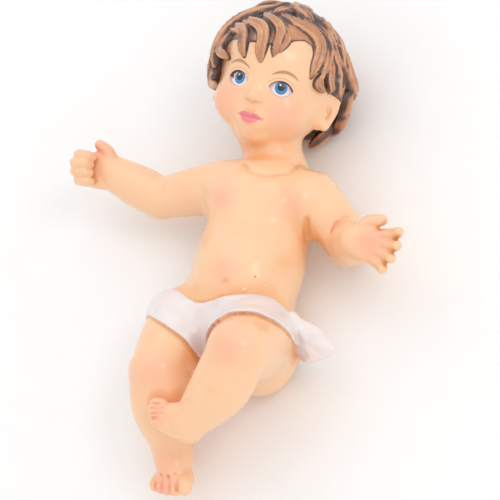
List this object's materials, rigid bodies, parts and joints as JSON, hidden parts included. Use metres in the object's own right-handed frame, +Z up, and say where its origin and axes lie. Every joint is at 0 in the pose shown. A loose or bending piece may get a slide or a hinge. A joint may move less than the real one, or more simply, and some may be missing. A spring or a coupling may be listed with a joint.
{
  "type": "nativity infant figurine",
  "caption": "Painted cast-resin figurine of a curly-haired infant lying on its back, arms spread, legs crossed at the shin, with a white loincloth that flares at the hip.",
  "frame": {"origin": "middle of the flat spot under the figure's back, on the surface it lies on", "axes": "+Y towards the head, +X towards the figure's left arm, +Z up out of its chest"},
  "size_m": [0.0965, 0.1303, 0.0392],
  "materials": {
    "painted_resin": "hand-painted cast polyresin under a satin-gloss varnish"
  },
  "bodies": {
    "root": {"figurine": "painted_resin"}
  },
  "joints": []
}
